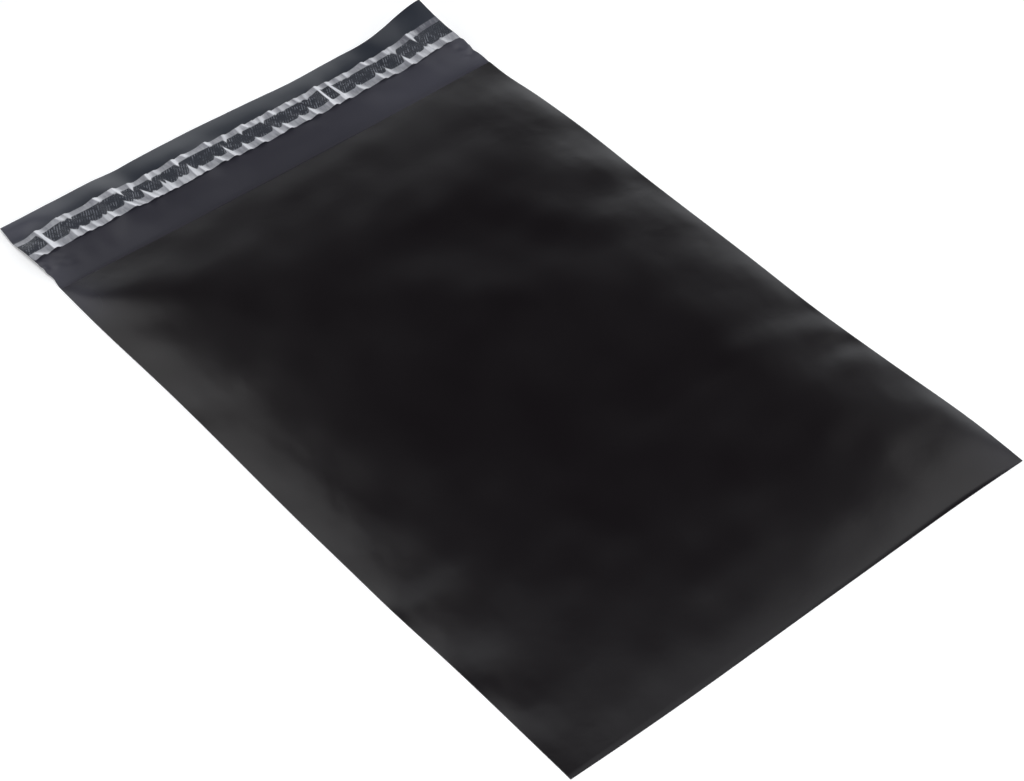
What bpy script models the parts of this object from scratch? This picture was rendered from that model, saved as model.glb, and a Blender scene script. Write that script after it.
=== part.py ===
"""A black poly mailer bag that lies flat and empty, with its flap open.

One sheet of film is folded at the bottom and welded along both sides, so the back film runs on past
the mouth as a flap. A strip of hot-melt adhesive lies on the flap under a clear release liner.

Metres, +Z up. X runs across the bag and Y along it, from the bottom fold to the end of the flap. The
origin is the centre of the bag on the surface that it lies on.
"""

import math

import bmesh
import bpy

# The film and the size that the bag is sold by
POUCH_WIDTH = 0.250
POUCH_LENGTH = 0.350
FLAP_LENGTH = 0.050
FILM_THICKNESS = 0.00006
# Clear height between the two films at the welds and at the bottom fold
PLY_CLEARANCE = 0.0003

# The air left in the pouch: how high it lifts the front film, and how far in from an edge it does so
CROWN_HEIGHT = 0.0045
CROWN_REACH = 0.024
MOUTH_GAPE = 0.0010
MOUTH_REACH = 0.045

# Puckers that the side welds draw into the front film: long waves with shorter ones over them
PUCKER_HEIGHT = 0.0009
PUCKER_PITCH = 0.043
PUCKER_REACH = 0.020
SHORT_PUCKER_HEIGHT = 0.0005
SHORT_PUCKER_PITCH = 0.027

# Broad soft buckles of the front film: start and end as shares of the pouch's width and length,
# measured from the pouch's centre, then shares of the half width and of the height, negative for a hollow
BUCKLE_HALF_WIDTH = 0.016
BUCKLE_HEIGHT = 0.0009
BUCKLES = (
    ((-0.16, 0.22), (0.36, -0.02), 1.0, -1.0),
    ((-0.08, 0.27), (0.44, 0.10), 1.1, 1.0),
    ((-0.34, 0.02), (0.20, -0.06), 1.05, 0.9),
    ((0.06, -0.14), (0.40, -0.17), 0.8, -0.9),
    ((-0.40, -0.22), (0.10, -0.20), 1.0, 0.9),
    ((-0.10, -0.30), (0.34, -0.26), 1.25, -0.7),
)

# How the flap lies: a little above the surface, higher along its left half, curled up at its right end
FLAP_SLACK = 0.001
FLAP_RISE = 0.0025
FLAP_RISE_REACH = 0.008
FLAP_RISE_FADE_START = -0.020
FLAP_RISE_FADE_END = 0.045
CURL_HEIGHT = 0.0098
CURL_REACH = 0.053
CURL_DRAW = 0.0045
CURL_STEEPNESS = 1.4

# Release liner and adhesive strip on the flap: a margin is from the flap's end, or the liner's upper edge
LINER_WIDTH = 0.017
LINER_THICKNESS = 0.00004
LINER_MARGIN = 0.0125
ADHESIVE_WIDTH = 0.0095
ADHESIVE_THICKNESS = 0.00012
ADHESIVE_END_INSET = 0.002
ADHESIVE_MARGIN = 0.0033
SEAT_GAP = 0.0003

# Ridges of the liner, where it stands off the adhesive: each starts at one edge and tapers off
RIDGE_HEIGHT = 0.0009
RIDGE_HALF_WIDTH = 0.0017
RIDGE_PITCH = 0.0090
RIDGE_PITCH_SWING = 0.35
RIDGE_PITCH_TURN = 2.4

# Fineness of the meshes: the usual width and length of a cell on each piece
FILM_CELL_WIDTH = 0.0096
FILM_CELL_LENGTH = 0.0097
FLAP_CELL_LENGTH = 0.0062
FOLD_CELL_LENGTH = 0.00016
LINER_CELL_WIDTH = 0.00174
LINER_CELL_LENGTH = 0.0043
ADHESIVE_CELL_LENGTH = 0.0047


def cells(length, cell):
    """How many cells of about a given size fill a length."""
    return max(1, round(length / cell))


# Places that follow from the sizes above
HALF_WIDTH = POUCH_WIDTH / 2
HALF_LENGTH = (POUCH_LENGTH + FLAP_LENGTH) / 2
FOLD_Y = -HALF_LENGTH
LIP_Y = FOLD_Y + POUCH_LENGTH
POUCH_CENTRE_Y = FOLD_Y + POUCH_LENGTH / 2
FLAP_END_Y = HALF_LENGTH
EDGE_HEIGHT = 2 * FILM_THICKNESS + PLY_CLEARANCE
FOLD_RADIUS = EDGE_HEIGHT / 2
LINER_CENTRE_Y = FLAP_END_Y - LINER_MARGIN - LINER_WIDTH / 2
ADHESIVE_CENTRE_Y = FLAP_END_Y - LINER_MARGIN - ADHESIVE_MARGIN - ADHESIVE_WIDTH / 2
ADHESIVE_BASE = FILM_THICKNESS + SEAT_GAP
LINER_BASE = ADHESIVE_BASE + ADHESIVE_THICKNESS + SEAT_GAP

# Columns and rows that follow from the sizes; the fold has an odd number, so that a row of faces lies at
# its middle, where the two sides of a weld end
FILM_COLUMNS = cells(POUCH_WIDTH, FILM_CELL_WIDTH)
POUCH_ROWS = cells(POUCH_LENGTH, FILM_CELL_LENGTH)
FLAP_ROWS = cells(FLAP_LENGTH, FLAP_CELL_LENGTH)
HALF_FOLD_ROWS = cells(math.pi * FOLD_RADIUS / 2, FOLD_CELL_LENGTH)
FOLD_ROWS = 2 * HALF_FOLD_ROWS + 1
LINER_COLUMNS = cells(POUCH_WIDTH, LINER_CELL_WIDTH)
LINER_ROWS = cells(LINER_WIDTH, LINER_CELL_LENGTH)
ADHESIVE_ROWS = cells(ADHESIVE_WIDTH, ADHESIVE_CELL_LENGTH)


def rise(distance, reach):
    """A share from 0 at an edge towards 1 inside it."""
    return 1 - math.exp(-max(distance, 0.0) / reach)


def smooth_step(value):
    """A share that starts and ends level, from 0 to 1."""
    value = min(max(value, 0.0), 1.0)
    return value * value * (3 - 2 * value)


def buckle(x, y, start, end, width_share, height_share):
    """Height of one soft buckle at a point: a rounded ridge or hollow that fades at both its ends."""
    half_width = BUCKLE_HALF_WIDTH * width_share
    height = BUCKLE_HEIGHT * height_share
    start_x, start_y = start[0] * POUCH_WIDTH, POUCH_CENTRE_Y + start[1] * POUCH_LENGTH
    run_x = end[0] * POUCH_WIDTH - start_x
    run_y = POUCH_CENTRE_Y + end[1] * POUCH_LENGTH - start_y
    length = math.hypot(run_x, run_y)
    along = ((x - start_x) * run_x + (y - start_y) * run_y) / length
    across = ((x - start_x) * run_y - (y - start_y) * run_x) / length
    beyond = max(-along, along - length, 0.0)
    return height * math.exp(-(across**2 + beyond**2) / (2 * half_width**2))


def pucker(x, y):
    """Height of the puckers beside the side welds, which fade towards the middle of the bag."""
    distance = HALF_WIDTH - abs(x)
    side = math.copysign(1, x)
    wave = PUCKER_HEIGHT * math.sin(2 * math.pi * y / PUCKER_PITCH + side)
    wave += SHORT_PUCKER_HEIGHT * math.cos(2 * math.pi * y / SHORT_PUCKER_PITCH + side)
    return wave * math.exp(-distance / PUCKER_REACH) * rise(distance, PUCKER_REACH / 4)


def front_height(x, y):
    """Height of the outer face of the front film, from the welds over the crown to the lip."""
    inside = rise(HALF_WIDTH - abs(x), CROWN_REACH) * rise(y - FOLD_Y, CROWN_REACH)
    behind_lip = rise(LIP_Y - y, MOUTH_REACH)
    crown = MOUTH_GAPE + (CROWN_HEIGHT - MOUTH_GAPE) * behind_lip
    relief = sum(buckle(x, y, *fold) for fold in BUCKLES) * behind_lip
    relief += pucker(x, y) * rise(y - FOLD_Y, CROWN_REACH) * behind_lip
    return EDGE_HEIGHT + max(crown * inside + relief * inside, 0.0)


def curl_share(x, y):
    """How much of the corner's curl reaches a point of the flap."""
    across = smooth_step((x - HALF_WIDTH + CURL_REACH) / CURL_REACH)
    along = max(y - LIP_Y, 0.0) / FLAP_LENGTH
    return across * along**CURL_STEEPNESS


def flap_height(x, y):
    """Height of the underside of the flap's film."""
    off_lip = rise(y - LIP_Y, FLAP_RISE_REACH) ** 2
    fade = smooth_step((x - FLAP_RISE_FADE_START) / (FLAP_RISE_FADE_END - FLAP_RISE_FADE_START))
    return (FLAP_SLACK + FLAP_RISE * (1 - fade)) * off_lip + CURL_HEIGHT * curl_share(x, y)


def flap_point(x, y, lift=0.0):
    """A point over the flap: the curl draws the flap's right side in as it lifts it."""
    return (x - CURL_DRAW * curl_share(x, y), y, flap_height(x, y) + lift)


def film_station(row):
    """What a row of the film is, from the flap's end to the front lip: a function from x to a point."""
    if row <= FLAP_ROWS:
        y = FLAP_END_Y - FLAP_LENGTH * row / FLAP_ROWS
        return lambda x: flap_point(x, y)
    row -= FLAP_ROWS
    fold_start_y = FOLD_Y + FOLD_RADIUS
    if row <= POUCH_ROWS:
        y = LIP_Y + (fold_start_y - LIP_Y) * row / POUCH_ROWS
        return lambda x: (x, y, 0.0)
    row -= POUCH_ROWS
    if row < FOLD_ROWS:
        turn = math.pi * row / FOLD_ROWS
        y = fold_start_y - FOLD_RADIUS * math.sin(turn)
        z = FOLD_RADIUS * (1 - math.cos(turn))
        return lambda x: (x, y, z)
    row -= FOLD_ROWS
    y = fold_start_y + (LIP_Y - fold_start_y) * row / POUCH_ROWS
    return lambda x: (x, y, front_height(x, y))


def grid_object(name, columns, rows):
    """A flat square grid as a new object, and for each vertex its column and row as shares from 0 to 1."""
    bpy.ops.mesh.primitive_grid_add(x_subdivisions=columns, y_subdivisions=rows, size=1)
    made = bpy.context.object
    made.name = name
    made.data.name = name
    shares = [(vertex.co.x + 0.5, vertex.co.y + 0.5) for vertex in made.data.vertices]
    return made, shares


def add_solidify(made, thickness, offset):
    """Gives an open surface its thickness: offset -1 grows it behind the faces and 1 in front."""
    solidify = made.modifiers.new("thickness", "SOLIDIFY")
    solidify.thickness = thickness
    solidify.offset = offset
    solidify.use_even_offset = True
    solidify.use_quality_normals = True


def plastic(name, colour, roughness, alpha=1.0):
    """A plain plastic with a linear colour."""
    made = bpy.data.materials.new(name)
    made.use_nodes = True
    shader = made.node_tree.nodes["Principled BSDF"]
    shader.inputs["Base Color"].default_value = (*colour, 1.0)
    shader.inputs["Roughness"].default_value = roughness
    shader.inputs["Metallic"].default_value = 0.0
    shader.inputs["Alpha"].default_value = alpha
    return made


def weld_sides(made):
    """Closes each side of the pouch with the narrow wall where the two films are welded together."""
    mesh = bmesh.new()
    mesh.from_mesh(made.data)
    mesh.verts.ensure_lookup_table()
    per_row = FILM_COLUMNS + 1
    back_start = FLAP_ROWS
    back_end = back_start + POUCH_ROWS + HALF_FOLD_ROWS
    front_start = back_end + 1
    front_end = front_start + POUCH_ROWS + HALF_FOLD_ROWS
    for column in (0, FILM_COLUMNS):
        back = [mesh.verts[row * per_row + column] for row in range(back_start, back_end + 1)]
        front = [mesh.verts[row * per_row + column] for row in range(front_start, front_end + 1)]
        chains = []
        for side in (back, front):
            chains += [mesh.edges.get(pair) for pair in zip(side, side[1:])]
        bmesh.ops.bridge_loops(mesh, edges=chains)
    bmesh.ops.recalc_face_normals(mesh, faces=mesh.faces)
    underside = min(mesh.faces, key=lambda face: face.calc_center_median().z)
    if underside.normal.z > 0:
        bmesh.ops.reverse_faces(mesh, faces=mesh.faces)
    mesh.to_mesh(made.data)
    mesh.free()


def make_film():
    """The bag itself: one sheet of film, folded at the bottom, with its sides welded up to the lip."""
    rows = FLAP_ROWS + POUCH_ROWS + FOLD_ROWS + POUCH_ROWS
    film, shares = grid_object("bag_film", FILM_COLUMNS, rows)
    for vertex, (across, along) in zip(film.data.vertices, shares):
        x = (round(across * FILM_COLUMNS) / FILM_COLUMNS - 0.5) * POUCH_WIDTH
        vertex.co = film_station(round(along * rows))(x)
    weld_sides(film)
    film.data.shade_smooth()
    film.data.set_sharp_from_angle(angle=math.radians(50))
    add_solidify(film, FILM_THICKNESS, -1)
    film.data.materials.append(plastic("black_film", (0.011, 0.010, 0.011), 0.42))
    return film


def make_adhesive():
    """The strip of hot-melt adhesive, which follows the flap under the liner."""
    strip, shares = grid_object("adhesive_strip", FILM_COLUMNS, ADHESIVE_ROWS)
    for vertex, (across, along) in zip(strip.data.vertices, shares):
        x = (across - 0.5) * (POUCH_WIDTH - 2 * ADHESIVE_END_INSET)
        y = ADHESIVE_CENTRE_Y + (along - 0.5) * ADHESIVE_WIDTH
        vertex.co = flap_point(x, y, ADHESIVE_BASE)
    add_solidify(strip, ADHESIVE_THICKNESS, 1)
    strip.data.materials.append(plastic("hot_melt_adhesive", (0.045, 0.048, 0.055), 0.25))
    return strip


def ridge_places():
    """Where the liner's ridges stand along it: their pitch swings, as wrinkles do."""
    places = []
    x = -HALF_WIDTH + RIDGE_PITCH
    while x < HALF_WIDTH - 2 * RIDGE_HALF_WIDTH:
        places.append(x)
        x += RIDGE_PITCH * (1 + RIDGE_PITCH_SWING * math.sin(RIDGE_PITCH_TURN * len(places)))
    return places


def ridge_height(x, up, places):
    """Height of the liner's ridges: in turn they start at its lower and its upper edge."""
    heights = [0.0]
    for count, place in enumerate(places):
        from_edge = up if count % 2 else 1 - up
        heights.append(from_edge * math.exp(-(((x - place) / RIDGE_HALF_WIDTH) ** 2)))
    return RIDGE_HEIGHT * max(heights)


def make_liner():
    """The clear release liner over the adhesive, as wide as the bag, with ridges across it."""
    liner, shares = grid_object("release_liner", LINER_COLUMNS, LINER_ROWS)
    places = ridge_places()
    for vertex, (across, along) in zip(liner.data.vertices, shares):
        x = (across - 0.5) * POUCH_WIDTH
        y = LINER_CENTRE_Y + (along - 0.5) * LINER_WIDTH
        vertex.co = flap_point(x, y, LINER_BASE + ridge_height(x, along, places))
    liner.data.shade_smooth()
    add_solidify(liner, LINER_THICKNESS, 1)
    liner.data.materials.append(plastic("clear_liner", (0.30, 0.30, 0.34), 0.30, 0.6))
    return liner


def main():
    """Clears the scene and builds the bag's three pieces in a collection of its own."""
    for old in list(bpy.data.objects):
        bpy.data.objects.remove(old)
    collection = bpy.data.collections.new("poly_mailer_bag")
    bpy.context.scene.collection.children.link(collection)
    for piece in (make_film(), make_adhesive(), make_liner()):
        for holder in list(piece.users_collection):
            holder.objects.unlink(piece)
        collection.objects.link(piece)


main()
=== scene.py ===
"""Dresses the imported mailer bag: its black film, its adhesive strip and its clear release liner.

The bag lies empty on its back panel with its flap open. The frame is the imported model's, in metres:
X runs across the bag, Y from its bottom fold to the end of its flap, and Z up. Places on the bag are
given the way a bag maker measures them, in millimetres from the left weld and from the bottom fold.
"""

from __future__ import annotations

import logging
import math
from dataclasses import dataclass, field
from enum import Enum
from typing import ClassVar

import bpy
import numpy as np
from mathutils import Matrix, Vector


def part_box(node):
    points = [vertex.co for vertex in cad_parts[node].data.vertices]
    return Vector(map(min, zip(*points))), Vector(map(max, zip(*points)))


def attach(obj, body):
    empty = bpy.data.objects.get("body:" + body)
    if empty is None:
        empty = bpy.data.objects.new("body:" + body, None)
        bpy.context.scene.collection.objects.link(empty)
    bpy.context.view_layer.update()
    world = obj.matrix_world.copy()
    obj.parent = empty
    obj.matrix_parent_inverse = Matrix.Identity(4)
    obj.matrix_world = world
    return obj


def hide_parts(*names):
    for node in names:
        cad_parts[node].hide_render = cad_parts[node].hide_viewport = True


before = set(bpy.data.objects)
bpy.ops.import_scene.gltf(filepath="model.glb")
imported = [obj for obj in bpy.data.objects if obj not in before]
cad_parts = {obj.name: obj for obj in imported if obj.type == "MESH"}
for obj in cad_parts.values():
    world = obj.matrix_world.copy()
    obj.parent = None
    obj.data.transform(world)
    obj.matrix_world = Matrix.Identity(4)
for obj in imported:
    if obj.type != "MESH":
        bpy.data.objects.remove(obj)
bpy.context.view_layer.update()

LOG = logging.getLogger("mailer_bag")
MM = 0.001
CREASE_DEG = 50.0
Array = np.ndarray


class WeldSide(Enum):
    """The side weld that a pucker starts at."""

    LEFT = "left"
    RIGHT = "right"


class LinerEdge(Enum):
    """The edge of the release liner at which a wrinkle opens."""

    LOWER = "lower"
    UPPER = "upper"


def srgb(code: str) -> tuple[float, float, float, float]:
    """Turns an sRGB hex colour into linear light.

    Args:
        code: the colour as "#rrggbb".

    Returns:
        Linear red, green and blue, and an alpha of 1.
    """
    linear = []
    for start in (1, 3, 5):
        share = int(code[start:start + 2], 16) / 255
        linear.append(share / 12.92 if share <= 0.04045 else ((share + 0.055) / 1.055) ** 2.4)
    return (*linear, 1.0)


def add_node(
    tree: bpy.types.NodeTree,
    kind: str,
    settings: dict[str, object] | None = None,
    inputs: dict[str | int, object] | None = None,
) -> bpy.types.Node:
    """Adds a node, sets its properties, and fills its inputs.

    Args:
        tree: the node tree that takes it.
        kind: the node's type name.
        settings: its properties by name.
        inputs: its inputs by name or number, each a value or another node's output socket.

    Returns:
        The new node.
    """
    node = tree.nodes.new(kind)
    for name, value in (settings or {}).items():
        setattr(node, name, value)
    for name, value in (inputs or {}).items():
        if isinstance(value, bpy.types.NodeSocket):
            tree.links.new(value, node.inputs[name])
        else:
            node.inputs[name].default_value = value
    return node


def new_material(name: str) -> tuple[bpy.types.Material, bpy.types.NodeTree, bpy.types.Node]:
    """Makes a material with an empty tree but for its Principled shader.

    Args:
        name: the material's name.

    Returns:
        The material, its tree and its shader.
    """
    material = bpy.data.materials.new(name)
    material.use_nodes = True
    tree = material.node_tree
    return material, tree, tree.nodes["Principled BSDF"]


def rise(distance: Array, reach: float) -> Array:
    """A share from 0 at an edge towards 1 inside it."""
    return 1 - np.exp(-np.maximum(distance, 0) / reach)


def smooth_step(value: Array, start: float, end: float) -> Array:
    """A share that runs from 0 at start to 1 at end and is level at both."""
    share = np.clip((value - start) / (end - start), 0, 1)
    return share * share * (3 - 2 * share)


@dataclass(frozen=True)
class Ripple:
    """An even, aimless ripple: plane waves of about one length that run every way.

    height is its spread, wavelength the typical distance between crests in mm, and seed picks the
    directions and phases.
    """

    WAVES: ClassVar[int] = 18
    STRETCH: ClassVar[tuple[float, float]] = (0.7, 1.4)
    height: float
    wavelength: float
    seed: int

    def lift(self, x: Array, y: Array) -> Array:
        """Adds up the waves at each place.

        Args:
            x: places across the bag in mm.
            y: places along it in mm.

        Returns:
            Heights above and below 0.
        """
        chance = np.random.default_rng(self.seed)
        total = np.zeros(np.broadcast(x, y).shape)
        for turn, phase, stretch in zip(
            chance.uniform(0, math.pi, self.WAVES),
            chance.uniform(0, 2 * math.pi, self.WAVES),
            chance.uniform(*self.STRETCH, self.WAVES),
        ):
            along = x * math.cos(turn) + y * math.sin(turn)
            total += np.sin(2 * math.pi * along / (self.wavelength * stretch) + phase)
        return self.height * (total * math.sqrt(2 / self.WAVES))


def active_grid(name: str, columns: int, rows: int) -> tuple[bpy.types.Object, Array, Array]:
    """Adds a flat square grid with a UV map, as the blank that a piece of film is made from.

    Args:
        name: the new object's name.
        columns: cells across.
        rows: cells along.

    Returns:
        The object, and each vertex's place across and along the blank as shares from 0 to 1.
    """
    bpy.ops.object.select_all(action="DESELECT")
    bpy.ops.mesh.primitive_grid_add(x_subdivisions=columns, y_subdivisions=rows, size=1, calc_uvs=True)
    made = bpy.context.object
    made.name = made.data.name = name
    places = np.zeros(len(made.data.vertices) * 3)
    made.data.vertices.foreach_get("co", places)
    places = places.reshape(-1, 3)
    across = np.round((places[:, 0] + 0.5) * columns) / columns
    along = np.round((places[:, 1] + 0.5) * rows) / rows
    return made, across, along


def place_vertices(made: bpy.types.Object, x: Array, y: Array, z: Array) -> None:
    """Moves a mesh's vertices to places given in mm from the left weld, the bottom fold and the floor."""
    made.data.vertices.foreach_set("co", BAG.to_frame(x, y, z).ravel())
    made.data.update()


def mark(made: bpy.types.Object, name: str, values: Array) -> None:
    """Keeps a value for each vertex as a named attribute of the mesh."""
    attribute = made.data.attributes.new(name, "FLOAT", "POINT")
    attribute.data.foreach_set("value", values.astype(np.float32))


def make_active(made: bpy.types.Object) -> None:
    """Selects one object alone and makes it active, as the operators need."""
    bpy.ops.object.select_all(action="DESELECT")
    made.select_set(True)
    bpy.context.view_layer.objects.active = made


def give_thickness(made: bpy.types.Object, thickness: float, offset: float) -> None:
    """Turns an open sheet into film of a real gauge.

    Args:
        made: the sheet.
        thickness: the gauge in mm.
        offset: -1 grows it behind its faces, 1 in front of them.
    """
    solidify = made.modifiers.new("gauge", "SOLIDIFY")
    solidify.thickness = thickness * MM
    solidify.offset = offset
    solidify.use_even_offset = True
    make_active(made)
    bpy.ops.object.modifier_apply(modifier=solidify.name)


def finish_piece(made: bpy.types.Object, node: str, material: bpy.types.Material) -> None:
    """Gives a piece its finish, smooth shading and its place in the frame.

    Args:
        made: the piece.
        node: the CAD node that it stands for.
        material: its finish.
    """
    make_active(made)
    bpy.ops.object.shade_smooth_by_angle(angle=math.radians(CREASE_DEG))
    made.data.materials.clear()
    made.data.materials.append(material)
    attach(made, "root")
    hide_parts(node)
    LOG.info("%s: %d faces", made.name, len(made.data.polygons))


@dataclass(frozen=True)
class BagSizes:
    """The bag's sizes in mm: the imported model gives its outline, and the pouch's length divides it."""

    width: float
    total_length: float
    pouch_length: float = 350.0
    gauge: float = 0.06
    weld_height: float = 0.42
    liner_width: float = 17.0
    liner_top_margin: float = 12.5
    adhesive_width: float = 9.5
    adhesive_top_margin: float = 3.3
    adhesive_gauge: float = 0.12

    @classmethod
    def from_frame(cls) -> BagSizes:
        """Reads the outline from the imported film."""
        low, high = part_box("bag_film")
        return cls(width=(high[0] - low[0]) / MM, total_length=(high[1] - low[1]) / MM)

    @property
    def flap_length(self) -> float:
        """The flap, from the lip to its end."""
        return self.total_length - self.pouch_length

    @property
    def liner_bottom(self) -> float:
        """Where the liner's lower edge lies, from the bottom fold."""
        return self.total_length - self.liner_top_margin - self.liner_width

    @property
    def strip_up(self) -> tuple[float, float]:
        """The adhesive strip's lower and upper edges, up from the liner's lower edge."""
        top = self.liner_width - self.adhesive_top_margin
        return top - self.adhesive_width, top

    def to_frame(self, x: Array, y: Array, z: Array) -> Array:
        """Turns places on the bag into places in the frame.

        Args:
            x: mm from the left weld.
            y: mm from the bottom fold.
            z: mm up from the floor.

        Returns:
            One row of X, Y and Z in metres for each place.
        """
        low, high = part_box("bag_film")
        middle = (low[0] + high[0]) / 2
        across = middle + (np.asarray(x) - self.width / 2) * MM
        along, up = low[1] + np.asarray(y) * MM, np.asarray(z) * MM
        return np.stack(np.broadcast_arrays(across, along, up), axis=-1)


BAG = BagSizes.from_frame()


@dataclass(frozen=True)
class Buckle:
    """A soft ridge of the film between two places, or a hollow if its height is negative.

    start and end are in mm from the left weld and the bottom fold.
    """

    END_FADE: ClassVar[float] = 0.7
    start: tuple[float, float]
    end: tuple[float, float]
    half_width: float
    height: float

    def lift(self, x: Array, y: Array) -> Array:
        """The ridge's height: rounded across, and fading towards both ends.

        Args:
            x: places across the bag in mm.
            y: places along it in mm.

        Returns:
            Heights in mm.
        """
        run_x, run_y = self.end[0] - self.start[0], self.end[1] - self.start[1]
        length = math.hypot(run_x, run_y)
        along = ((x - self.start[0]) * run_x + (y - self.start[1]) * run_y) / length
        across = ((x - self.start[0]) * run_y - (y - self.start[1]) * run_x) / length
        from_middle = 2 * along / length - 1
        return self.height * np.exp(-((across / self.half_width) ** 2) / 2 - self.END_FADE * from_middle**4)


@dataclass(frozen=True)
class WeldPucker:
    """A pucker that a side weld draws into the front film: it widens and fades as it runs inwards.

    at is in mm from the bottom fold, slant in mm along the bag for each mm inwards.
    """

    side: WeldSide
    at: float
    reach: float
    half_width: float
    height: float
    slant: float = 0.0

    def lift(self, x: Array, y: Array) -> Array:
        """The pucker's height.

        Args:
            x: places across the bag in mm.
            y: places along it in mm.

        Returns:
            Heights in mm.
        """
        inward = x if self.side is WeldSide.LEFT else BAG.width - x
        offset = y - self.at - self.slant * inward
        width = self.half_width * (1 + inward / self.reach)
        return self.height * np.exp(-((offset / width) ** 2) / 2 - (inward / self.reach) ** 2)


def puckers(side: WeldSide, *rows: tuple[float, ...]) -> tuple[WeldPucker, ...]:
    """The puckers of one weld, each given by its place, reach, half width, height and slant."""
    return tuple(WeldPucker(side, *row) for row in rows)


@dataclass(frozen=True)
class EdgeBulge:
    """Where an edge of the bag strays outwards, or inwards if out is negative, in mm."""

    at: float
    reach: float
    out: float

    def stray(self, place: Array) -> Array:
        """How far out the edge lies at places along it."""
        return self.out * np.exp(-(((place - self.at) / self.reach) ** 2))


@dataclass
class FilmForm:
    """How the empty bag lies: the heights of its front, its back and its flap in mm.

    A reach is how far in from an edge a form takes to come to most of its height, in mm too. The first
    fields are the front panel's, then come the flap's, its curled corner's, the back's and the edges'.
    """

    crown: float = 5.5
    left_reach: float = 40.0
    right_reach: float = 30.0
    fold_reach: float = 20.0
    fold_tail: float = 110.0
    mouth_gape: float = 1.3
    mouth_reach: float = 48.0
    lip_bow: float = 2.7
    lip_bow_steepness: float = 4.0
    lip_calm: float = 3.5
    lip_relief: float = 0.12
    weld_reach: float = 5.0
    least_height: float = 0.05
    wide_ripple: Ripple = Ripple(0.035, 26, seed=3)
    fine_ripple: Ripple = Ripple(0.014, 9, seed=5)
    fine_ripple_inside: float = 0.15
    fine_ripple_reach: float = 16.0
    flap_slack: float = 3.5
    flap_rise_reach: float = 8.0
    flap_steps: tuple[tuple[float, float, float], ...] = ((46.0, 66.0, -1.1), (110.0, 165.0, -0.8))
    flap_droop: float = 1.5
    flap_droop_reach: float = 16.0
    flap_ripples: tuple[Ripple, ...] = (Ripple(0.25, 34, seed=12), Ripple(0.08, 11, seed=13))
    calm_above_liner: float = 0.7
    calm_up: tuple[float, float] = (12.0, 22.0)
    crinkle: Ripple = Ripple(0.4, 5, seed=14)
    crinkle_at: float = 362.0
    crinkle_reach: tuple[float, float] = (7.0, 9.0)
    curl: float = 9.8
    curl_reach: float = 49.0
    curl_draw: float = 4.5
    curl_steepness: float = 1.4
    droop_fade: tuple[float, float] = (-15.0, 10.0)
    back_ripple: Ripple = Ripple(0.12, 30, seed=9)
    edge_reach: float = 12.0
    left_bulges: tuple[EdgeBulge, ...] = (
        EdgeBulge(160, 70, 1.4), EdgeBulge(105, 25, 0.5), EdgeBulge(320, 40, 0.9), EdgeBulge(357, 3, -0.6),
        EdgeBulge(385, 18, 1.8))
    right_bulges: tuple[EdgeBulge, ...] = (
        EdgeBulge(28, 42, 2.4), EdgeBulge(125, 30, -0.8), EdgeBulge(280, 35, 1.1), EdgeBulge(338, 16, -1.4),
        EdgeBulge(360, 3, -0.7), EdgeBulge(380, 22, -2.3))
    fold_bulges: tuple[EdgeBulge, ...] = (EdgeBulge(50, 75, 1.6), EdgeBulge(215, 40, -0.7))
    end_bulges: tuple[EdgeBulge, ...] = (
        EdgeBulge(20, 50, 0.7), EdgeBulge(92, 34, 2.0), EdgeBulge(140, 28, 1.2), EdgeBulge(188, 14, 1.4),
        EdgeBulge(220, 16, -0.6))
    flap_buckles: tuple[Buckle, ...] = (
        Buckle((-10, 388), (14, 388), 4.5, -1.9),
        Buckle((24, 366), (24, 396), 6, 0.5),
        Buckle((49, 362), (49, 396), 7, 0.8),
        Buckle((62, 362), (62, 396), 5, -0.5),
        Buckle((97, 364), (97, 396), 11, 0.7),
        Buckle((114, 364), (114, 396), 7, -0.3),
        Buckle((170, 362), (171, 396), 6, 0.6),
        Buckle((198, 362), (199, 398), 8, 0.9),
    )
    front_buckles: tuple[Buckle, ...] = (
        Buckle((84, 262), (184, 186), 15, 1.1),
        Buckle((120, 288), (240, 284), 13, 0.7),
        Buckle((186, 262), (222, 216), 10, 0.35),
        Buckle((130, 121), (250, 119), 7, 0.5),
        Buckle((126, 158), (196, 152), 10, 0.35),
        Buckle((40, 160), (130, 122), 14, 0.35),
        Buckle((92, 50), (104, 92), 4, 0.14),
        Buckle((116, 48), (127, 92), 4, 0.14),
        Buckle((146, 52), (160, 90), 4, 0.12),
        Buckle((170, 68), (240, 72), 8, 0.3),
        Buckle((60, 320), (130, 262), 12, 0.35),
        Buckle((210, 10), (200, 210), 16, 1.2),
    )
    weld_puckers: tuple[WeldPucker, ...] = (
        *puckers(
            WeldSide.LEFT,
            (335, 60, 10, 1.8, -0.5), (300, 34, 9, 1.2, -0.4), (266, 30, 8, 0.8, 0.1),
            (242, 36, 6, -0.4, 0.1), (205, 24, 9, 0.4), (160, 24, 9, 0.4), (116, 34, 5, 0.3),
            (103, 34, 4, -0.4, -0.1), (82, 34, 6, 0.25), (60, 40, 6, -0.4, -0.1), (36, 18, 6, 0.4)),
        *puckers(
            WeldSide.RIGHT,
            (312, 40, 12, 0.9), (285, 30, 5, -0.4), (258, 34, 7, 0.6, -0.1), (236, 24, 6, -0.4),
            (204, 20, 8, 0.4), (160, 26, 10, 0.4), (124, 24, 4, -0.4), (110, 26, 4, 0.4),
            (98, 22, 3, -0.4), (85, 26, 4, 0.5), (66, 18, 4, -0.3), (46, 18, 4, 0.3),
            (30, 60, 24, 1.2)),
    )

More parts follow.
